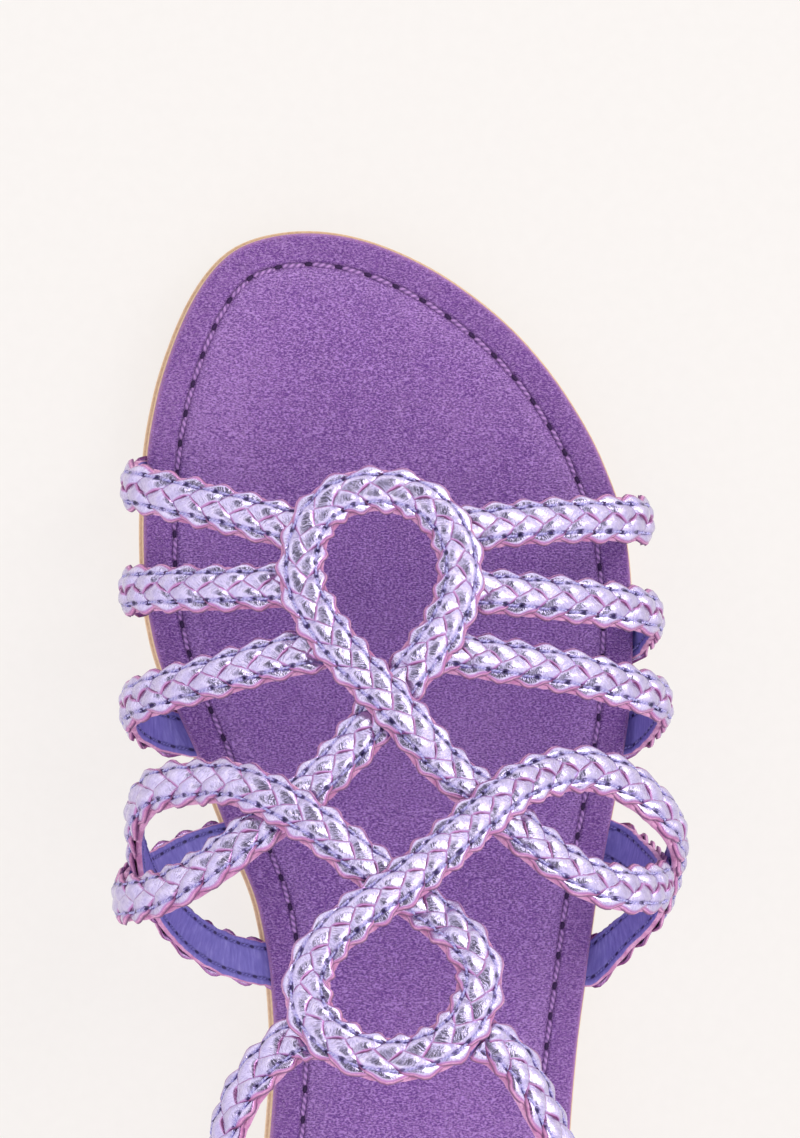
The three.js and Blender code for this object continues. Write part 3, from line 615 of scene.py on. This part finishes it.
def smooth_curve(rows, samples):
    """Centripetal Catmull-Rom curve through the rows, with the share of the way along each sample."""
    rows = np.asarray(rows, float)
    ahead = 2 * rows[0] - rows[1]
    behind = 2 * rows[-1] - rows[-2]
    knots = np.vstack([ahead, rows, behind])
    pieces = len(rows) - 1
    places = np.linspace(0, pieces, samples)
    index = np.minimum(places.astype(int), pieces - 1)
    share = (places - index)[:, None]
    p0, p1, p2, p3 = (knots[index + offset] for offset in range(4))
    d0, d1, d2 = (np.maximum(np.linalg.norm(b - a, axis=1) ** 0.5, 1e-4)[:, None]
                  for a, b in ((p0, p1), (p1, p2), (p2, p3)))
    t1 = ((p1 - p0) / d0 - (p2 - p0) / (d0 + d1) + (p2 - p1) / d1) * d1
    t2 = ((p2 - p1) / d1 - (p3 - p1) / (d1 + d2) + (p3 - p2) / d2) * d1
    return (p1 * (2 * share ** 3 - 3 * share ** 2 + 1) + t1 * (share ** 3 - 2 * share ** 2 + share)
            + p2 * (3 * share ** 2 - 2 * share ** 3) + t2 * (share ** 3 - share ** 2)), places


class Route:
    """Middle line of a strap's inside, measured in millimetres from its start."""

    def __init__(self, points, out, skive, slant):
        self.points, self.out, self.skive, self.slant = points, out, skive, slant
        steps = np.linalg.norm(np.diff(points, axis=0), axis=1)
        self.places = np.concatenate([[0], np.cumsum(steps)])
        self.length = self.places[-1]

    def blend(self, values, distance):
        return np.stack([np.interp(distance, self.places, column) for column in values.T], axis=-1)

    def frame(self, distance):
        forward = unit(self.blend(self.points, np.minimum(distance + 1, self.length))
                       - self.blend(self.points, np.maximum(distance - 1, 0)))
        out = sum(self.blend(self.out, distance + offset) for offset in (-1, 0, 1))
        out = unit(out - forward * np.sum(out * forward, axis=-1, keepdims=True))
        slant = np.interp(distance, self.places, self.slant)[..., None]
        skive = np.interp(distance, self.places, self.skive)
        side = np.cross(forward, out) + forward * slant
        return self.blend(self.points, distance), forward, out, side, skive

    def spot(self, distance, across, height):
        """Point at a distance along, a distance to the side and a height over the foot form."""
        point, _, out, side, skive = self.frame(distance)
        thick = 1 + (TAIL_THICKNESS / PLAIT_HEIGHT - 1) * skive
        return point + side * across[..., None] + out * (height * thick)[..., None]


def eased(share):
    share = np.clip(share, 0, 1)
    return share * share * (3 - 2 * share)


def form_route(rows):
    rows = np.asarray(rows, float)
    scaled = rows * (SOLE_LENGTH, DEGREE_LENGTH, 1)
    curve, _ = smooth_curve(scaled, ROUTE_SAMPLES)
    along, around = curve[:, 0] / SOLE_LENGTH, curve[:, 1] / DEGREE_LENGTH
    down = last_point(along + 1 / SOLE_LENGTH, around) - last_point(along - 1 / SOLE_LENGTH, around)
    over = last_point(along, around + 1 / DEGREE_LENGTH) - last_point(along, around - 1 / DEGREE_LENGTH)
    out = unit(np.cross(down, over))
    fade = eased((np.abs(around) - SKIVE_START) / (180 - SKIVE_START))
    points = last_point(along, around) + out * (eased(curve[:, 2]) * CROSSING_RISE)[:, None]
    forward = unit(np.gradient(points, axis=0))
    crosswise = np.sum(down * np.cross(forward, out), axis=1)
    slant = np.sum(down * forward, axis=1) / np.where(fade > 0, crosswise, 1)
    return Route(points, out, fade, np.clip(slant, -SLANT_LIMIT, SLANT_LIMIT) * fade)


def heel_route(rows):
    places = np.stack([
        rows[:, 1] * BALL_WIDTH + SHIFT_X,
        place_y(rows[:, 0]),
        outsole_floor(place_y(rows[:, 0])) + FOOTBED_FLOOR + FOOTBED_THICKNESS + rows[:, 2] * INSTEP_HEIGHT,
    ], axis=1)
    points, share = smooth_curve(places, ROUTE_SAMPLES)
    forward = unit(np.gradient(points, axis=0))
    level = unit(np.stack([forward[:, 1], -forward[:, 0], 0 * share], axis=1))
    lean = np.radians(np.interp(share, np.arange(len(rows)), rows[:, 3]))
    out = level * np.cos(lean)[:, None] + np.array([0, 0, 1.0]) * np.sin(lean)[:, None]
    return Route(points, unit(out), 0 * share, 0 * share)


routes = {name: form_route(rows) for name, rows in ROUTES.items()}
routes["heel_strap"] = heel_route(HEEL_STRAP)


def from_seam(material, across):
    return distance_from(material, sums(material, "ABSOLUTE", across), STITCH_LINE)


def from_pinhole(material, along, seam, shrink):
    """Distance from a seam's nearest pinhole, which is drawn out along the strap."""
    along = sums(material, "MULTIPLY", sums(material, "PINGPONG", along, STITCH_LENGTH / 2), shrink)
    reach = node(material, "CombineXYZ", {"X": along, "Y": seam}).outputs[0]
    return node(material, "VectorMath", {0: reach}, operation="LENGTH").outputs["Value"]


lining_leather = new_material("lining_leather", Specular_IOR_Level=0.4)
strap = node(lining_leather, "Attribute", attribute_name="strap").outputs["Vector"]
parts = node(lining_leather, "SeparateXYZ", {0: strap}).outputs
folds = noise(lining_leather, stretched(lining_leather, strap, (1.6, 0.35, 1)), 1.0, 4)
pores = noise(lining_leather, object_place(lining_leather), 2400, 2)
violet = ramp(lining_leather, folds, [(0.3, srgb(112, 102, 184)), (0.55, srgb(128, 118, 198)),
                                      (0.75, srgb(148, 140, 212))])
seam = from_seam(lining_leather, parts["Y"])
pinhole_shade = from_pinhole(lining_leather, parts["X"], seam, 0.6)
violet = mix(lining_leather, between(lining_leather, seam, 0.1, 0.5, 0.5, 0), violet, srgb(72, 62, 140))
# Painted shade: dark pinholes along each seam.
violet = mix(lining_leather, between(lining_leather, pinhole_shade, 0.2, 0.36, 1, 0), violet, srgb(44, 28, 88))
finish_material(
    lining_leather, violet, between(lining_leather, folds, 0.3, 0.7, 0.55, 0.42),
    (between(lining_leather, seam, 0.1, 0.6), 0.6, 0.0002), (folds, 0.4, 0.0003), (pores, 0.25, 0.0001),
)
raw_edge = new_material("raw_edge", Sheen_Weight=0.2)
place = object_place(raw_edge)
strip = node(raw_edge, "Attribute", attribute_name="strip").outputs["Vector"]
drop = node(raw_edge, "SeparateXYZ", {0: strip}).outputs["Z"]
fuzz = noise(raw_edge, place, 2600, 3)
tone = noise(raw_edge, place, 420, 3)
pink = ramp(raw_edge, fuzz, [(0.3, srgb(208, 138, 190)), (0.7, srgb(242, 186, 220))])
pink = mix(raw_edge, between(raw_edge, tone, 0.42, 0.62, 0, 0.6), pink, srgb(184, 100, 160))
# Painted shade: the lower part of each cut edge, under the strip's face, is darkened.
pink = mix(raw_edge, between(raw_edge, drop, 0.25, 0.55, 0, 0.9), pink, srgb(108, 44, 108))
# Painted shade: cut edges inside the strap, between the tiles, are darkened; the strap's outer edges stay
# pink.
strap = node(raw_edge, "Attribute", attribute_name="strap").outputs["Vector"]
aside = sums(raw_edge, "ABSOLUTE", node(raw_edge, "SeparateXYZ", {0: strap}).outputs["Y"])
pink = mix(raw_edge, between(raw_edge, aside, 3.3, 2.4, 0, 0.95), pink, srgb(124, 50, 110))
finish_material(raw_edge, pink, between(raw_edge, fuzz, 0.3, 0.7, 0.9, 0.75), (fuzz, 0.6, 0.0002))

# Columns: share of the half width, height, 1 where the cut edge shows. The section runs once round.
LINING_SECTION = np.array([
    (0, 0.02, 0), (0.5, 0, 0), (0.86, 0.03, 0), (0.97, 0.14, 1), (1, 0.45, 1), (1.02, 0.85, 1),
    (0.96, 1.18, 1), (0.5, 1.2, 1), (0, 1.2, 1), (-0.5, 1.2, 1), (-0.96, 1.18, 1), (-1.02, 0.85, 1),
    (-1, 0.45, 1), (-0.97, 0.14, 1), (-0.86, 0.03, 0), (-0.5, 0, 0), (0, 0.02, 0),
])


def cut_columns(section):
    """1 for each face of a section that lies between two points of a cut edge."""
    return [int(first and second) for first, second in zip(section[:-1, 2], section[1:, 2])]


for name, route in routes.items():
    distance = np.linspace(0, route.length, round(route.length / LINING_STEP) + 1)
    rows = np.repeat(distance[:, None], len(LINING_SECTION), axis=1)
    uneven = np.random.default_rng(len(distance)).uniform(-1, 1, (len(distance), 1)) * UNEVEN_EDGE
    across = LINING_SECTION[None, :, 0] * (LINING_WIDTH / 2 + uneven * LINING_SECTION[None, :, 2])
    height = np.repeat(LINING_SECTION[None, :, 1], len(distance), axis=0)
    mesh = new_mesh("strap")
    strap = np.stack([rows, across, height], axis=-1)
    add_grid(mesh, route.spot(rows, across, height), {"strap": strap}, cut_columns(LINING_SECTION))
    bmesh.ops.holes_fill(mesh, edges=mesh.edges, sides=0)
    lining = piece_from(name + "_lining", mesh, [lining_leather, raw_edge])
    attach(lining, "root")


# Plaited uppers: each strap is a flat plait of three strips of lavender foil leather. After each turn
# at an edge a strip passes over the one that comes towards the edge. Cut edges show raw and pink.
STRIP_WIDTH = 3.9
STRIP_SWING = 2.4
STRIP_THICKNESS = 0.75
STRIP_WAVE = 0.43
BRAID_PITCH = 5.3
STRIP_STEP = 0.45
PLAIT_LENGTH = 3 * BRAID_PITCH
# How far apart the three strips of a strap are cut from the foil.
FOIL_STEP = 40
# Columns: share of the half width, drop below the strip's face, 1 where the cut edge shows.
STRIP_SECTION = np.array([
    (0, 0, 0), (0.26, 0, 0), (0.5, 0, 0), (0.7, 0.01, 0), (0.82, 0.05, 0), (0.88, 0.13, 1), (0.97, 0.42, 1),
    (1.01, 0.73, 1), (0.5, 0.75, 0), (0, 0.75, 0), (-0.5, 0.75, 0), (-1.01, 0.73, 1), (-0.97, 0.42, 1),
    (-0.88, 0.13, 1), (-0.82, 0.05, 0), (-0.7, 0.01, 0), (-0.5, 0, 0), (-0.26, 0, 0), (0, 0, 0),
])
STRIP_CROWN = 0.28
TILE_DOME = 0.18
TILE_LEAN = 0.2
TILE_TILT = 0.1
TILE_SEED = (127.1, 311.7)
RAGGED_EDGE = 0.16
SCALLOP = 0.12
SCALLOP_WAVES = 6
SCALLOP_START = 0.6
SCALLOP_SPAN = 0.25
SEAM_PRESS = 0.42
SEAM_PRESS_REACH = 0.46
EDGE_DROP = 0.4
EDGE_DROP_START = 2.4
EDGE_DROP_SPAN = 1.8


def strip_turn(distance, strip):
    return 2 * math.pi * (distance / PLAIT_LENGTH + strip / 3)


def strip_slope(turn):
    return -STRIP_SWING * np.sin(turn) * 2 * math.pi / PLAIT_LENGTH


def strip_face(distance, strip, across_share):
    """Height of a strip's face: the wave over and under, domed on each tile that shows. A tile lies
    over the one before it, so that edge is raised, and each leans a little its own way."""
    turn = strip_turn(distance, strip)
    tile = np.floor(turn / math.pi) * 3 + strip
    tilt = np.sin(tile * TILE_SEED[0] + strip * TILE_SEED[1]) * TILE_TILT
    lean = tilt - np.sign(np.sin(turn)) * TILE_LEAN
    crown = 1 - across_share ** 2
    on_top = np.maximum(np.sin(2 * turn), 0)
    middle = LINING_THICKNESS + STRIP_THICKNESS + STRIP_WAVE
    wave = STRIP_WAVE * np.sin(2 * turn)
    return middle + wave + STRIP_CROWN * crown + on_top * (TILE_DOME * crown + lean * across_share)


def edge_swell(turn):
    """A strip bulges where it turns at an edge and draws in beside it, which scallops the edge."""
    near_edge = np.clip((np.abs(np.cos(turn)) - SCALLOP_START) / SCALLOP_SPAN, 0, 1)
    return SCALLOP * np.cos(SCALLOP_WAVES * turn) * near_edge


def stitch_press(across):
    """How far the seam pulls the plait down beside a stitch line, and how far its edge drops beyond."""
    groove = SEAM_PRESS * np.exp(-((np.abs(across) - STITCH_LINE) / SEAM_PRESS_REACH) ** 2)
    return groove + EDGE_DROP * eased((np.abs(across) - EDGE_DROP_START) / EDGE_DROP_SPAN)


foil = new_material("foil_leather", Metallic=0.85, Specular_IOR_Level=0.6, Coat_Weight=0.15,
                    Coat_Roughness=0.2)
strip = node(foil, "Attribute", attribute_name="strip").outputs["Vector"]
strap = node(foil, "Attribute", attribute_name="strap").outputs["Vector"]
parts = node(foil, "SeparateXYZ", {0: strap}).outputs
strip_parts = node(foil, "SeparateXYZ", {0: strip}).outputs
waviness = noise(foil, stretched(foil, strip, (0.6, 0.6, 1)), 1.0, 2, 0.5, "Color")
bent = node(foil, "VectorMath", {0: strip, 1: waviness}, operation="ADD").outputs["Vector"]
creases = noise(foil, stretched(foil, bent, (3.6, 0.45, 1)), 1.0, 2, 0.55)
fold = between(foil, distance_from(foil, creases, 0.5), 0.0, 0.045)
dents = noise(foil, stretched(foil, strip, (0.7, 0.6, 1)), 1.0, 2)
fine = noise(foil, stretched(foil, strip, (9, 0.9, 1)), 1.0, 2)
lavender = ramp(foil, dents, [(0.3, srgb(196, 186, 226)), (0.55, srgb(212, 202, 236)),
                              (0.8, srgb(228, 218, 246))])
# Painted shade: the fold lines, the crease lines and the fine lines are darkened.
lavender = mix(foil, between(foil, fold, 0, 1, 0.28, 0), lavender, srgb(150, 136, 190))
lavender = mix(foil, between(foil, creases, 0.3, 0.45, 0.2, 0), lavender, srgb(156, 142, 196))
lavender = mix(foil, between(foil, fine, 0.36, 0.46, 0.35, 0), lavender, srgb(140, 128, 186))
# The face turns pink towards each strip's edge: partly the pink leather of the cut edge, partly painted
# shade at the seams between tiles.
border = between(foil, sums(foil, "ABSOLUTE", strip_parts["Y"]), 1.3, 1.62, 0, 0.85)
lavender = mix(foil, border, lavender, srgb(186, 118, 180))
seam = from_seam(foil, parts["Y"])
hole = from_pinhole(foil, parts["X"], seam, 0.5)
patchy = noise(foil, stretched(foil, strap, (0.45, 0.45, 1)), 1.0, 1)
hole = sums(foil, "ADD", hole, between(foil, dents, 0.35, 0.65, -0.05, 0.08))
hole = sums(foil, "ADD", hole, between(foil, patchy, 0.35, 0.65, -0.02, 0.2))
lavender = mix(foil, between(foil, seam, 0.15, 0.6, 0.45, 0), lavender, srgb(134, 118, 192))
# Painted shade: dark pinholes along each seam, drawn out along the strap; the bump dents them too.
lavender = mix(foil, between(foil, hole, 0.16, 0.32, 1, 0), lavender, srgb(44, 28, 86))
finish_material(
    foil, lavender, between(foil, fine, 0.3, 0.7, 0.12, 0.22),
    (dents, 0.4, 0.0003), (creases, 0.1, 0.00012), (fine, 0.25, 0.00005), (fold, 0.3, 0.00008),
    (between(foil, hole, 0.2, 0.5), 0.9, 0.0005),
)


def plait(name, route):
    """The three strips of one strap in one grid, each swept along its own wave."""
    distance = np.linspace(0, route.length, round(route.length / STRIP_STEP) + 1)
    random = np.random.default_rng(len(distance))
    cut = STRIP_SECTION[:, 2] * np.sign(STRIP_SECTION[:, 0])
    mesh = new_mesh("strip", "strap")
    for strip_index in range(3):
        turn = strip_turn(distance, strip_index)
        middle = STRIP_SWING * np.cos(turn)
        slope = strip_slope(turn)
        slant = np.sqrt(1 + slope ** 2)
        ragged = random.uniform(-1, 1, len(distance))
        ragged = (ragged + np.roll(ragged, 1))[:, None] / 2 * RAGGED_EDGE
        outer = STRIP_SECTION[None, :, 0] * np.cos(turn)[:, None] > 0
        flat = STRIP_SECTION[:, 0] * STRIP_WIDTH / 2
        width = flat * (1 + edge_swell(turn)[:, None] * outer) + cut * ragged
        ahead = distance[:, None] - width * (slope / slant)[:, None]
        across = middle[:, None] + width / slant[:, None]
        face = strip_face(distance[:, None], strip_index, STRIP_SECTION[:, 0])
        height = face - STRIP_SECTION[:, 1] - stitch_press(across)
        inside = np.clip(ahead, 0, route.length)
        points = route.spot(inside, across, height)
        run = np.concatenate([[0], np.cumsum(np.hypot(np.diff(distance), np.diff(middle)))])
        run = run[:, None] + FOIL_STEP * strip_index + 0 * inside
        strip = [run, flat + 0 * inside, STRIP_SECTION[:, 1] + 0 * inside]
        strap = [inside, across, height]
        attributes = {"strip": np.stack(strip, axis=-1), "strap": np.stack(strap, axis=-1)}
        add_grid(mesh, points, attributes, cut_columns(STRIP_SECTION))
    bmesh.ops.holes_fill(mesh, edges=mesh.edges, sides=0)
    return piece_from(name, mesh, [foil, raw_edge])


for name, route in routes.items():
    strap_plait = plait(name + "_plait", route)
    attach(strap_plait, "root")
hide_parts("upper")


# Strap seams: two rows of lavender thread, 2.8 mm a stitch, hold each plait to its lining. A stitch is
# pulled into the plait, and its ends go down into pinholes. The same seams show on the lining.
STRAP_THREAD = 0.2
HOLE_INSET = 0.3
THREAD_SINK = 0.03
LINING_THREAD_SINK = 0.02
strap_thread = thread_material("strap_thread", srgb(134, 124, 202), srgb(198, 192, 240), 9)
lining_thread = thread_material("lining_thread", srgb(66, 56, 134), srgb(124, 114, 194), 9)


def plait_top(distance, across):
    """Height of the uppermost strip at a place on the strap."""
    best = np.full(np.shape(distance), LINING_THICKNESS)
    for strip_index in range(3):
        centre = np.array(distance, float)
        for _ in range(4):
            turn = strip_turn(centre, strip_index)
            slope = strip_slope(turn)
            slant = np.sqrt(1 + slope ** 2)
            width = (across - STRIP_SWING * np.cos(turn)) * slant
            centre = distance + width * slope / slant
        share = width / (STRIP_WIDTH / 2)
        face = strip_face(centre, strip_index, share) - stitch_press(across)
        best = np.where((np.abs(share) < 1) & (face > best), face, best)
    return best


mesh, lining_mesh = new_mesh("thread"), new_mesh("thread")
for name, route in routes.items():
    starts = np.arange(1, int(route.length / STITCH_LENGTH) - 1) * STITCH_LENGTH
    hole_places = np.stack([starts + HOLE_INSET, starts + STITCH_LENGTH - HOLE_INSET])
    outs = route.frame(starts + STITCH_LENGTH / 2)[2]
    for side in (-1, 1):
        across = np.full(hole_places.shape, side * STITCH_LINE)
        samples = np.linspace(hole_places[0], hole_places[1], 7)
        top = plait_top(samples, np.full(samples.shape, side * STITCH_LINE)).mean(axis=0) - THREAD_SINK
        over = route.spot(hole_places, across, np.stack([top, top]))
        add_stitches(mesh, over[0], over[1], outs, STRAP_THREAD, dip=0.45, arch=0.08)
        under = route.spot(hole_places, across, np.full(hole_places.shape, LINING_THREAD_SINK))
        add_stitches(lining_mesh, under[0], under[1], -outs, STRAP_THREAD, dip=0.3, arch=0.05)
strap_seams = piece_from("strap_stitching", mesh, [strap_thread])
lining_seams = piece_from("lining_stitching", lining_mesh, [lining_thread])
for seams in (strap_seams, lining_seams):
    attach(seams, "root")


# Studio: a plain pale floor that glows a little, so that it shows hardly any shadow. The light is soft
# and white from all round, with a dimmer patch overhead at the camera, which the foil shows as grey.
FLOOR_COLOUR = srgb(248, 244, 241)
FLOOR_HALF_SIZE = 1.5
DIM_PATCH = (0.02, 0.48, 0.877)
LAMP_PLACE = Vector((0.75, 0.75, 0.95))
LAMP_AIM = Vector((0, 0.05, 0))
floor_material = new_material("studio_floor", Specular_IOR_Level=0.1, Emission_Color=FLOOR_COLOUR,
                              Emission_Strength=0.84)
grain = noise(floor_material, object_place(floor_material), 400, 2)
pale = ramp(floor_material, grain, [(0.3, srgb(106, 104, 102)), (0.7, srgb(110, 108, 106))])
finish_material(floor_material, pale, between(floor_material, grain, 0.3, 0.7, 0.8, 0.85),
                (grain, 0.05, 0.0001))
mesh = bmesh.new()
bmesh.ops.create_grid(mesh, x_segments=2, y_segments=2, size=FLOOR_HALF_SIZE)
floor = piece_from("studio_floor", mesh, [floor_material])

world = bpy.data.worlds.new("studio")
bpy.context.scene.world = world
world.use_nodes = True
direction = node(world, "TexCoord").outputs["Generated"]
overhead = node(world, "VectorMath", {0: direction, 1: DIM_PATCH}, operation="DOT_PRODUCT").outputs["Value"]
sky = ramp(world, overhead, [(0, (0.82, 0.8, 0.85, 1)), (0.3, (0.86, 0.84, 0.88, 1)),
                             (0.74, (1.1, 1.08, 1.1, 1)), (0.9, (0.05, 0.045, 0.06, 1))], "EASE")
background = world.node_tree.nodes["Background"]
world.node_tree.links.new(sky, background.inputs["Color"])
background.inputs["Strength"].default_value = 1.3

lamp_data = bpy.data.lights.new("softbox", "AREA")
lamp_data.energy = 7
lamp_data.size = 0.8
lamp_data.color = (1, 0.985, 0.97)
lamp = bpy.data.objects.new("softbox", lamp_data)
lamp.location = LAMP_PLACE
lamp.rotation_euler = (LAMP_PLACE - LAMP_AIM).to_track_quat("Z", "Y").to_euler()
bpy.context.collection.objects.link(lamp)

# Camera: one metre above the sandal, tilted 4 degrees from the inner side, as in the photograph.
CAMERA_TILT = math.radians(4)
CAMERA_DISTANCE = 1.0
CAMERA_LENS = 174.7
CAMERA_TARGET = Vector(((0.905 + SHIFT_X) * MM, 62.3 * MM, 9.3 * MM))
camera_data = bpy.data.cameras.new("camera")
camera_data.lens = CAMERA_LENS
camera = bpy.data.objects.new("camera", camera_data)
bpy.context.collection.objects.link(camera)
right = Vector((math.cos(CAMERA_TILT), 0, math.sin(CAMERA_TILT)))
back = Vector((-math.sin(CAMERA_TILT), 0, math.cos(CAMERA_TILT)))
turned = Matrix((right, Vector((0, 1, 0)), back)).transposed().to_4x4()
camera.matrix_world = Matrix.Translation(CAMERA_TARGET + back * CAMERA_DISTANCE) @ turned
bpy.context.scene.camera = camera
bpy.context.scene.view_settings.view_transform = "Standard"
